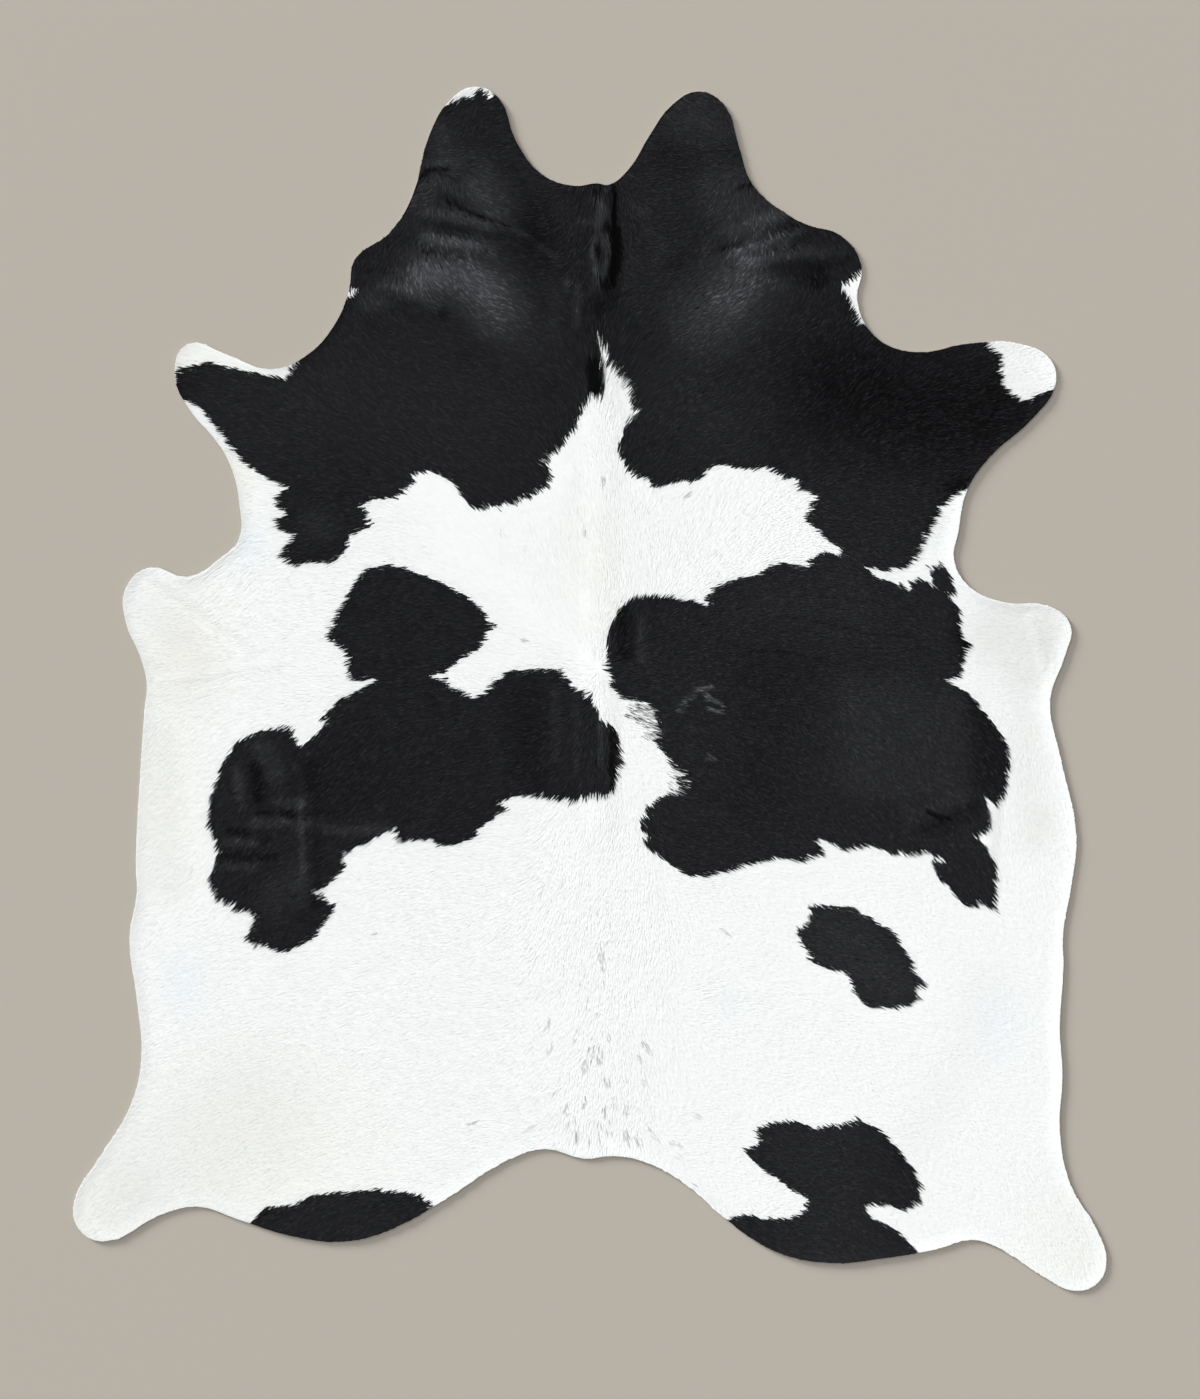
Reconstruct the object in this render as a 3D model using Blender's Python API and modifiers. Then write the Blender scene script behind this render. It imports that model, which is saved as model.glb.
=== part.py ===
"""Cowhide rug lying flat: one skin with its short lying coat, drawn at real size in metres.

+Y runs toward the neck, +X toward the hide's right-hand side, +Z up. The underside lies on z = 0.
"""
import math

import bmesh
import bpy
from mathutils import Vector

SKIN_THICKNESS = 0.0022     # tanned skin
COAT_THICKNESS = 0.0028     # short hair lying flat on it
OUTLINE_STEPS = 3           # straight steps between two landmarks of the outline
EDGE_RINGS = (0.011, 0.016)     # widths of the two strips that follow the edge, from outside
EDGE_LIFT = 0.002           # the trimmed edge stands this high off the floor
EDGE_WAVE = 0.3             # share by which that height comes and goes
EDGE_WAVE_LENGTH = 0.75     # from one high place of the edge to the next
GRID_STEP = 0.090           # spacing of the plain grid on the flat parts
FOLD_STEP = 0.035           # spacing of the cuts across a fold
FOLD_RINGS = (-1.0, -0.62, -0.3, 0.0, 0.3, 0.62, 1.0)   # cuts along a fold, in half widths
FOLD_REACH = 1.5            # faces this many half widths from a crest are cut finer
CUT_SNAP = 0.0015           # a cut this close to a point goes through it
WELD_DISTANCE = 0.0010      # points closer than this become one

# Edge of the hide, clockwise from the notch between the two neck lobes.
# Each row is one stretch of the edge: name, then its landmarks as (x, y).
OUTLINE = (
    ("neck notch", ((-0.028, 0.935), (0.013, 0.940), (0.034, 0.937))),
    ("right neck lobe", ((0.071, 0.965), (0.112, 1.031), (0.153, 1.086), (0.203, 1.111),
                         (0.250, 1.085), (0.276, 1.012), (0.302, 0.938))),
    ("right cheek", ((0.363, 0.884), (0.406, 0.862), (0.466, 0.843), (0.505, 0.787),
                     (0.497, 0.723))),
    ("right shoulder hollow", ((0.529, 0.656), (0.600, 0.626))),
    ("right foreleg", ((0.708, 0.642), (0.801, 0.641), (0.857, 0.612), (0.866, 0.565),
                       (0.823, 0.502), (0.745, 0.432), (0.702, 0.370))),
    ("right armpit", ((0.685, 0.290), (0.677, 0.239), (0.706, 0.189))),
    ("right elbow flap", ((0.773, 0.160), (0.851, 0.154), (0.894, 0.118), (0.884, 0.062),
                          (0.856, -0.021))),
    ("right flank", ((0.875, -0.128), (0.905, -0.273), (0.896, -0.366), (0.880, -0.459),
                     (0.881, -0.515), (0.874, -0.632), (0.879, -0.720), (0.874, -0.822))),
    ("right hind leg", ((0.894, -0.924), (0.942, -1.006), (0.961, -1.064), (0.946, -1.105),
                        (0.903, -1.121), (0.847, -1.096), (0.763, -1.042))),
    ("right thigh hollow", ((0.713, -1.026), (0.642, -1.044))),
    ("right rump", ((0.540, -1.061), (0.447, -1.069), (0.344, -1.047), (0.257, -0.990))),
    ("right tail arch", ((0.168, -0.915), (0.093, -0.878), (0.041, -0.870))),
    ("tail", ((-0.011, -0.875), (-0.082, -0.857))),
    ("left tail arch", ((-0.149, -0.875), (-0.261, -0.945))),
    ("left rump", ((-0.363, -1.003), (-0.456, -1.029), (-0.559, -1.018), (-0.652, -0.989))),
    ("left thigh hollow", ((-0.732, -0.964), (-0.801, -0.980))),
    ("left hind leg", ((-0.907, -1.029), (-0.953, -1.003), (-0.959, -0.952), (-0.916, -0.878),
                       (-0.857, -0.781))),
    ("left flank", ((-0.835, -0.692), (-0.843, -0.580), (-0.857, -0.463), (-0.843, -0.381),
                    (-0.845, -0.329), (-0.837, -0.161), (-0.829, -0.040), (-0.825, 0.012))),
    ("left elbow flap", ((-0.838, 0.062), (-0.864, 0.124), (-0.864, 0.187), (-0.819, 0.225))),
    ("left armpit", ((-0.750, 0.208), (-0.686, 0.243), (-0.654, 0.276), (-0.652, 0.340))),
    ("left foreleg", ((-0.672, 0.422), (-0.703, 0.470), (-0.741, 0.513), (-0.773, 0.587),
                      (-0.749, 0.641), (-0.680, 0.623))),
    ("left shoulder hollow", ((-0.596, 0.594), (-0.531, 0.617), (-0.475, 0.677))),
    ("left cheek", ((-0.448, 0.742), (-0.438, 0.798), (-0.372, 0.848))),
    ("left neck lobe", ((-0.331, 0.915), (-0.298, 1.032), (-0.261, 1.094), (-0.214, 1.120),
                        (-0.171, 1.100), (-0.138, 1.019), (-0.089, 0.956))),
)

# Soft folds that lift the skin off the floor: name, height, half width, crest line as (x, y).
FOLDS = (
    ("mane ridge", 0.008, 0.030, ((0.026, 0.915), (0.030, 0.826), (0.024, 0.723))),
    ("spine ridge", 0.0015, 0.045, ((0.024, 0.660), (0.020, 0.239), (0.022, -0.245))),
    ("nape swell", 0.005, 0.040, ((0.110, 0.870), (0.135, 0.842), (0.150, 0.812))),
    ("left lobe wrinkle", 0.005, 0.024, ((-0.315, 0.962), (-0.274, 0.960), (-0.231, 0.973))),
    ("left neck fold", 0.007, 0.028, ((-0.287, 0.928), (-0.236, 0.913), (-0.182, 0.887),
                                      (-0.112, 0.843))),
    ("left neck wrinkle", 0.005, 0.020, ((-0.307, 0.874), (-0.242, 0.863), (-0.173, 0.846))),
    ("left cheek wrinkle", 0.004, 0.018, ((-0.317, 0.830), (-0.266, 0.820), (-0.197, 0.817))),
    ("left shoulder wrinkle", 0.004, 0.020, ((-0.384, 0.742), (-0.335, 0.722), (-0.279, 0.701))),
    ("right neck fold", 0.006, 0.024, ((0.362, 0.872), (0.302, 0.852), (0.233, 0.830))),
    ("right neck wrinkle", 0.004, 0.018, ((0.398, 0.845), (0.344, 0.834), (0.294, 0.820))),
    ("right cheek wrinkle", 0.005, 0.022, ((0.470, 0.800), (0.380, 0.796), (0.300, 0.782))),
    ("left flank fold", 0.006, 0.026, ((-0.659, -0.204), (-0.600, -0.213), (-0.540, -0.234))),
    ("left flank wrinkle", 0.004, 0.020, ((-0.682, -0.262), (-0.648, -0.270), (-0.611, -0.274))),
    ("left flank ridge", 0.005, 0.024, ((-0.531, -0.142), (-0.520, -0.226), (-0.522, -0.394))),
    ("left elbow crease", 0.0015, 0.020, ((-0.823, 0.206), (-0.730, 0.141), (-0.637, 0.074))),
    ("left flank crease", 0.0015, 0.018, ((-0.806, 0.007), (-0.698, 0.031), (-0.585, 0.044))),
    ("right flank fold", 0.006, 0.026, ((0.614, -0.249), (0.652, -0.237), (0.704, -0.213))),
    ("right flank ridge", 0.0015, 0.024, ((0.738, -0.105), (0.748, -0.189), (0.742, -0.301))),
    ("right elbow crease", 0.0015, 0.018, ((0.826, 0.130), (0.838, 0.090), (0.851, 0.040))),
)

COAT_WHITE = (0.80, 0.80, 0.79, 1.0)
COAT_ROUGHNESS = 0.75


def clear_scene():
    for item in list(bpy.data.objects):
        bpy.data.objects.remove(item, do_unlink=True)


def edge_curve():
    """Closed flat curve through the landmarks, smooth at each of them."""
    landmarks = [spot for _, stretch in OUTLINE for spot in stretch]
    curve = bpy.data.curves.new("hide_edge", "CURVE")
    curve.dimensions = "2D"
    curve.fill_mode = "NONE"
    curve.resolution_u = OUTLINE_STEPS
    spline = curve.splines.new("BEZIER")
    spline.bezier_points.add(len(landmarks) - 1)
    for point, (x, y) in zip(spline.bezier_points, landmarks):
        point.co = (x, y, 0.0)
        point.handle_left_type = "AUTO"
        point.handle_right_type = "AUTO"
    spline.use_cyclic_u = True
    return curve


def outline_mesh():
    """The curve's points as one flat face, facing up."""
    holder = bpy.data.objects.new("hide_edge", edge_curve())
    bpy.context.scene.collection.objects.link(holder)
    bpy.context.view_layer.update()
    ring = [vertex.co.copy() for vertex in holder.to_mesh().vertices]
    holder.to_mesh_clear()
    bpy.data.objects.remove(holder, do_unlink=True)
    sheet = bmesh.new()
    face = sheet.faces.new([sheet.verts.new(spot) for spot in ring])
    face.normal_update()
    if face.normal.z < 0.0:
        face.normal_flip()
    return sheet


def cut_edge_strips(sheet):
    """Strips along the edge, so that it can curl up. Returns the face inside them."""
    middle = sheet.faces[:]
    for ring_width in EDGE_RINGS:
        bmesh.ops.inset_region(sheet, faces=middle, thickness=ring_width, use_boundary=True,
                               use_even_offset=True)
    return middle


def slice_faces(sheet, faces, spot, direction):
    """Cut the given faces along the upright plane through spot that faces direction."""
    edges = {edge for face in faces for edge in face.edges}
    verts = {vert for face in faces for vert in face.verts}
    bmesh.ops.bisect_plane(sheet, geom=list(faces) + list(edges) + list(verts),
                           plane_co=spot, plane_no=direction, dist=CUT_SNAP)


def grid_lines(low, high, step):
    count = int((high - low) / step)
    first = (low + high - count * step) / 2.0
    return [first + step * number for number in range(count + 1)]


def cut_grid(sheet, strips):
    """Plain grid over the whole hide, inside the strips along the edge."""
    for axis in (Vector((1.0, 0.0, 0.0)), Vector((0.0, 1.0, 0.0))):
        reach = [vert.co.dot(axis) for vert in sheet.verts]
        for line in grid_lines(min(reach), max(reach), GRID_STEP):
            slice_faces(sheet, [face for face in sheet.faces if face not in strips],
                        axis * line, axis)


def to_segment(spot, start, end):
    """Distance from spot to the straight piece between start and end."""
    along = end - start
    share = (spot - start).dot(along) / along.length_squared
    return (spot - start - along * min(max(share, 0.0), 1.0)).length


def crest_pieces(crest):
    line = [Vector((x, y, 0.0)) for x, y in crest]
    return list(zip(line, line[1:]))


def cut_fold(sheet, half_width, crest):
    """Finer cuts along and across one fold, only in the faces near it."""
    for start, end in crest_pieces(crest):
        along = (end - start).normalized()
        across = along.cross(Vector((0.0, 0.0, 1.0)))
        length = (end - start).length
        steps = max(1, round((length + half_width) / FOLD_STEP))
        planes = [(start + across * half_width * ring, across) for ring in FOLD_RINGS]
        planes += [(start + along * (length * step / steps), along) for step in range(steps + 1)]
        for spot, direction in planes:
            near = [face for face in sheet.faces
                    if to_segment(face.calc_center_median(), start, end) < half_width * FOLD_REACH]
            slice_faces(sheet, near, spot, direction)


def fold_lift(spot):
    """Height of the underside over the floor at a spot."""
    lift = 0.0
    for _, height, half_width, crest in FOLDS:
        away = min(to_segment(spot, start, end) for start, end in crest_pieces(crest))
        if away < half_width:
            lift = max(lift, height * (1.0 - (away / half_width) ** 2) ** 2)
    return lift


def edge_lift(spot, edge_pieces):
    """Height that the curled edge adds at a spot."""
    away = min(to_segment(spot, start, end) for start, end in edge_pieces)
    share = max(0.0, 1.0 - away / sum(EDGE_RINGS))
    wave = 1.0 + EDGE_WAVE * math.sin(math.tau * (spot.x + spot.y) / EDGE_WAVE_LENGTH)
    return EDGE_LIFT * wave * share ** 2


def hide_material():
    material = bpy.data.materials.new("hide")
    material.use_nodes = True
    shader = material.node_tree.nodes["Principled BSDF"]
    shader.inputs["Base Color"].default_value = COAT_WHITE
    shader.inputs["Roughness"].default_value = COAT_ROUGHNESS
    return material


def build_hide():
    sheet = outline_mesh()
    rim = [(edge.verts[0].co.copy(), edge.verts[1].co.copy()) for edge in sheet.edges]
    middle = cut_edge_strips(sheet)
    strips = set(sheet.faces) - set(middle)
    cut_grid(sheet, strips)
    for _, _, half_width, crest in FOLDS:
        cut_fold(sheet, half_width, crest)
    bmesh.ops.remove_doubles(sheet, verts=sheet.verts, dist=WELD_DISTANCE)
    for vert in sheet.verts:
        spot = Vector((vert.co.x, vert.co.y, 0.0))
        vert.co.z = max(fold_lift(spot), edge_lift(spot, rim))
    bmesh.ops.recalc_face_normals(sheet, faces=sheet.faces)
    if sum(face.normal.z for face in sheet.faces) < 0.0:
        bmesh.ops.reverse_faces(sheet, faces=sheet.faces)
    mesh = bpy.data.meshes.new("hide")
    sheet.to_mesh(mesh)
    sheet.free()
    mesh.materials.append(hide_material())
    hide = bpy.data.objects.new("hide", mesh)
    thickness = hide.modifiers.new("thickness", "SOLIDIFY")
    thickness.thickness = SKIN_THICKNESS + COAT_THICKNESS
    thickness.offset = 1.0
    thickness.use_rim = True
    return hide


clear_scene()
rug = bpy.data.collections.new("cowhide_rug")
bpy.context.scene.collection.children.link(rug)
rug.objects.link(build_hide())
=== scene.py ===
# %% [markdown]
# # A cowhide rug
# The real thing is the whole tanned skin of one animal with its hair left on. It lies flat on the
# floor, neck to the top of the picture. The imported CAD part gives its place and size, and this
# file dresses it: a thin skin with a suede underside, and a coat of short hair lying in the
# directions in which it grew.

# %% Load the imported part
import math

import bmesh
import bpy
import numpy as np
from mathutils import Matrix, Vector


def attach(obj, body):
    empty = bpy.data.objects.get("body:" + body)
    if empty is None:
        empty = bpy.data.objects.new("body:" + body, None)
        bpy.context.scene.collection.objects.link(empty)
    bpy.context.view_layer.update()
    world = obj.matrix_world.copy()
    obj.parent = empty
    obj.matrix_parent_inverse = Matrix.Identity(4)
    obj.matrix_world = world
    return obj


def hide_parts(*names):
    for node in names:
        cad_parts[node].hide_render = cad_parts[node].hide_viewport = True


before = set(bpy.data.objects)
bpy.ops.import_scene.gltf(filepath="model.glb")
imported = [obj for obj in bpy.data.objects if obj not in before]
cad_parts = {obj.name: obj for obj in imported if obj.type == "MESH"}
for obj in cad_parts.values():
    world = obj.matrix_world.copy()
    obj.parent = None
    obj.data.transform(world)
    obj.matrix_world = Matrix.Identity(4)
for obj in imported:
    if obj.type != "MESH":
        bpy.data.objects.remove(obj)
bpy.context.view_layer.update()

# %% [markdown]
# ## The edge of the hide
# A hide is trimmed with a knife, so its edge is one smooth line with sharp changes only where a
# leg or the neck was cut. It could be drawn with a formula, but no animal follows one. A closed
# curve through landmarks, smooth at each of them, needs the fewest numbers. The landmarks are the
# CAD part's own, in metres.

# %% Landmarks of the edge
# Clockwise from the notch between the two neck lobes: name of the stretch, landmarks as (x, y).
OUTLINE = (
    ("neck notch", ((-0.028, 0.935), (0.013, 0.940), (0.034, 0.937))),
    ("right neck lobe", ((0.071, 0.965), (0.112, 1.031), (0.153, 1.086), (0.203, 1.111),
                         (0.250, 1.085), (0.276, 1.012), (0.302, 0.938))),
    ("right cheek", ((0.363, 0.884), (0.406, 0.862), (0.466, 0.843), (0.505, 0.787),
                     (0.497, 0.723))),
    ("right shoulder hollow", ((0.529, 0.656), (0.600, 0.626))),
    ("right foreleg", ((0.708, 0.642), (0.801, 0.641), (0.857, 0.612), (0.866, 0.565),
                       (0.823, 0.502), (0.745, 0.432), (0.702, 0.370))),
    ("right armpit", ((0.685, 0.290), (0.677, 0.239), (0.706, 0.189))),
    ("right elbow flap", ((0.773, 0.160), (0.851, 0.154), (0.894, 0.118), (0.884, 0.062),
                          (0.856, -0.021))),
    ("right flank", ((0.875, -0.128), (0.905, -0.273), (0.896, -0.366), (0.880, -0.459),
                     (0.881, -0.515), (0.874, -0.632), (0.879, -0.720), (0.874, -0.822))),
    ("right hind leg", ((0.894, -0.924), (0.942, -1.006), (0.961, -1.064), (0.946, -1.105),
                        (0.903, -1.121), (0.847, -1.096), (0.763, -1.042))),
    ("right thigh hollow", ((0.713, -1.026), (0.642, -1.044))),
    ("right rump", ((0.540, -1.061), (0.447, -1.069), (0.344, -1.047), (0.257, -0.990))),
    ("right tail arch", ((0.168, -0.915), (0.093, -0.878), (0.041, -0.870))),
    ("tail", ((-0.011, -0.875), (-0.082, -0.857))),
    ("left tail arch", ((-0.149, -0.875), (-0.261, -0.945))),
    ("left rump", ((-0.363, -1.003), (-0.456, -1.029), (-0.559, -1.018), (-0.652, -0.989))),
    ("left thigh hollow", ((-0.732, -0.964), (-0.801, -0.980))),
    ("left hind leg", ((-0.907, -1.029), (-0.953, -1.003), (-0.959, -0.952), (-0.916, -0.878),
                       (-0.857, -0.781))),
    ("left flank", ((-0.835, -0.692), (-0.843, -0.580), (-0.857, -0.463), (-0.843, -0.381),
                    (-0.845, -0.329), (-0.837, -0.161), (-0.829, -0.040), (-0.825, 0.012))),
    ("left elbow flap", ((-0.838, 0.062), (-0.864, 0.124), (-0.864, 0.187), (-0.819, 0.225))),
    ("left armpit", ((-0.750, 0.208), (-0.686, 0.243), (-0.654, 0.276), (-0.652, 0.340))),
    ("left foreleg", ((-0.672, 0.422), (-0.703, 0.470), (-0.741, 0.513), (-0.773, 0.587),
                      (-0.749, 0.641), (-0.680, 0.623))),
    ("left shoulder hollow", ((-0.596, 0.594), (-0.531, 0.617), (-0.475, 0.677))),
    ("left cheek", ((-0.448, 0.742), (-0.438, 0.798), (-0.372, 0.848))),
    ("left neck lobe", ((-0.331, 0.915), (-0.298, 1.032), (-0.261, 1.094), (-0.214, 1.120),
                        (-0.171, 1.100), (-0.138, 1.019), (-0.089, 0.956))),
)

OUTLINE_STEPS = 4


def edge_ring():
    """Points of the closed edge, as an array of (x, y)."""
    landmarks = [spot for _, stretch in OUTLINE for spot in stretch]
    curve = bpy.data.curves.new("hide_edge", "CURVE")
    curve.dimensions = "2D"
    curve.fill_mode = "NONE"
    curve.resolution_u = OUTLINE_STEPS
    spline = curve.splines.new("BEZIER")
    spline.bezier_points.add(len(landmarks) - 1)
    for point, (x, y) in zip(spline.bezier_points, landmarks):
        point.co = (x, y, 0.0)
        point.handle_left_type = "AUTO"
        point.handle_right_type = "AUTO"
    spline.use_cyclic_u = True
    holder = bpy.data.objects.new("hide_edge", curve)
    bpy.context.scene.collection.objects.link(holder)
    bpy.context.view_layer.update()
    ring = np.array([tuple(vertex.co)[:2] for vertex in holder.to_mesh().vertices])
    holder.to_mesh_clear()
    bpy.data.objects.remove(holder, do_unlink=True)
    return ring


edge = edge_ring()


def ring_area(ring):
    x, y = ring.T
    return abs(np.dot(x, np.roll(y, -1)) - np.dot(y, np.roll(x, -1))) / 2.0


# %% [markdown]
# ## Folds
# A hide that has been rolled up keeps a few soft folds, mostly at the neck and where the legs
# were. Each is a low rounded ridge along a short crest line, the same ones as in the CAD part. The
# height at any spot is worked out from its distance to the crest, so skin and hair rise together.
# The thin trimmed edge curls up a little, more in one place than in the next.

# %% Height over the floor
# Name, height, half width, crest line as (x, y), in metres.
FOLDS = (
    ("mane ridge", 0.008, 0.030, ((0.026, 0.915), (0.030, 0.826), (0.024, 0.723))),
    ("spine ridge", 0.0015, 0.045, ((0.024, 0.660), (0.020, 0.239), (0.022, -0.245))),
    ("nape swell", 0.005, 0.040, ((0.110, 0.870), (0.135, 0.842), (0.150, 0.812))),
    ("left lobe wrinkle", 0.005, 0.024, ((-0.315, 0.962), (-0.274, 0.960), (-0.231, 0.973))),
    ("left neck fold", 0.007, 0.028, ((-0.287, 0.928), (-0.236, 0.913), (-0.182, 0.887),
                                      (-0.112, 0.843))),
    ("left neck wrinkle", 0.005, 0.020, ((-0.307, 0.874), (-0.242, 0.863), (-0.173, 0.846))),
    ("left cheek wrinkle", 0.004, 0.018, ((-0.317, 0.830), (-0.266, 0.820), (-0.197, 0.817))),
    ("left shoulder wrinkle", 0.004, 0.020, ((-0.384, 0.742), (-0.335, 0.722), (-0.279, 0.701))),
    ("right neck fold", 0.006, 0.024, ((0.362, 0.872), (0.302, 0.852), (0.233, 0.830))),
    ("right neck wrinkle", 0.004, 0.018, ((0.398, 0.845), (0.344, 0.834), (0.294, 0.820))),
    ("right cheek wrinkle", 0.005, 0.022, ((0.470, 0.800), (0.380, 0.796), (0.300, 0.782))),
    ("left flank fold", 0.006, 0.026, ((-0.659, -0.204), (-0.600, -0.213), (-0.540, -0.234))),
    ("left flank wrinkle", 0.004, 0.020, ((-0.682, -0.262), (-0.648, -0.270), (-0.611, -0.274))),
    ("left flank ridge", 0.005, 0.024, ((-0.531, -0.142), (-0.520, -0.226), (-0.522, -0.394))),
    ("left elbow crease", 0.0008, 0.020, ((-0.823, 0.206), (-0.730, 0.141), (-0.637, 0.074))),
    ("left flank crease", 0.0008, 0.018, ((-0.806, 0.007), (-0.698, 0.031), (-0.585, 0.044))),
    ("right flank fold", 0.006, 0.026, ((0.614, -0.249), (0.652, -0.237), (0.704, -0.213))),
    ("right flank ridge", 0.0015, 0.024, ((0.738, -0.105), (0.748, -0.189), (0.742, -0.301))),
    ("right elbow crease", 0.0008, 0.018, ((0.826, 0.130), (0.838, 0.090), (0.851, 0.040))),
)
EDGE_WIDTH = 0.027          # strip along the edge that curls up
EDGE_LIFT = 0.002
EDGE_WAVE = 0.3             # share by which the lift comes and goes
EDGE_WAVE_LENGTH = 0.75


def to_segments(spots, line, reach, closed=False):
    """Distance from each spot to a line of straight pieces, at most reach."""
    line = np.asarray(line)
    ends = np.roll(line, -1, axis=0) if closed else line[1:]
    starts = line if closed else line[:-1]
    nearest = np.full(len(spots), reach)
    for start, end in zip(starts, ends):
        low, high = np.minimum(start, end) - reach, np.maximum(start, end) + reach
        near = np.flatnonzero(((spots > low) & (spots < high)).all(axis=1))
        along = end - start
        local = spots[near] - start
        share = np.clip(local @ along / (along @ along), 0.0, 1.0)
        away = np.hypot(*(local - share[:, None] * along).T)
        nearest[near] = np.minimum(nearest[near], away)
    return nearest


def bump_over(spots, line, half_width):
    """Soft rounded bump along a line: 1 on the line, 0 from half_width on."""
    return (1.0 - (to_segments(spots, line, half_width) / half_width) ** 2) ** 2


def lift(spots):
    """Height of the underside over the floor at each spot (x, y)."""
    share = 1.0 - to_segments(spots, edge, EDGE_WIDTH, closed=True) / EDGE_WIDTH
    wave = 1.0 + EDGE_WAVE * np.sin(math.tau * spots.sum(axis=1) / EDGE_WAVE_LENGTH)
    height = EDGE_LIFT * wave * share**2
    for _, crest_height, half_width, crest in FOLDS:
        height = np.maximum(height, crest_height * bump_over(spots, crest, half_width))
    return height


# %% [markdown]
# ## The skin
# The skin is a thin sheet: tanned leather about 2 mm thick with the roots of the coat on top. One
# flat face inside the edge is cut by a plain grid, so that it can follow the folds and carry the
# spots, and then it gets its thickness. The underside touches the floor between the folds.

# %% Build the skin
SKIN_THICKNESS = 0.0022
UNDERCOAT = 0.0008          # short dense hair at the roots, part of the skin sheet
SKIN_GRID = 0.012
CUT_SNAP = 1e-5             # a cut this close to a point goes through it


def skin_sheet():
    """One flat face inside the edge, cut into a grid."""
    sheet = bmesh.new()
    face = sheet.faces.new([sheet.verts.new((x, y, 0.0)) for x, y in edge])
    face.normal_update()
    if face.normal.z < 0.0:
        face.normal_flip()
    low, high = edge.min(axis=0), edge.max(axis=0)
    for axis in (0, 1):
        across = Vector((1.0, 0.0, 0.0)) if axis == 0 else Vector((0.0, 1.0, 0.0))
        for line in np.arange(low[axis] + SKIN_GRID / 2.0, high[axis], SKIN_GRID):
            bmesh.ops.bisect_plane(sheet, geom=sheet.faces[:] + sheet.edges[:] + sheet.verts[:],
                                   plane_co=across * float(line), plane_no=across, dist=CUT_SNAP)
    return sheet


def thicken(sheet, thickness):
    """Give the sheet a wall straight up, closed round its edge."""
    bottom = sheet.faces[:]
    made = bmesh.ops.extrude_face_region(sheet, geom=bottom, use_keep_orig=True)["geom"]
    top = [item for item in made if isinstance(item, bmesh.types.BMVert)]
    bmesh.ops.translate(sheet, verts=top, vec=(0.0, 0.0, thickness))
    bmesh.ops.recalc_face_normals(sheet, faces=sheet.faces)


skin_mesh = skin_sheet()
thicken(skin_mesh, SKIN_THICKNESS + UNDERCOAT)
places = np.array([tuple(vertex.co) for vertex in skin_mesh.verts])
places[:, 2] += lift(places[:, :2])
for vertex, place in zip(skin_mesh.verts, places):
    vertex.co = place
print("skin faces", len(skin_mesh.faces), "highest", round(float(places[:, 2].max()), 4))

# %% [markdown]
# ## Spots
# Black spots on white are clear patches of hair, each with its own outline. The landmarks below
# were picked along each edge, where the boundary turns. They are in millimetres, because
# the edge of a spot is only as exact as a lock of hair is wide. White patches inside the black
# cape come after the black ones.

# %% Landmarks of the spots
MM = 0.001
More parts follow.
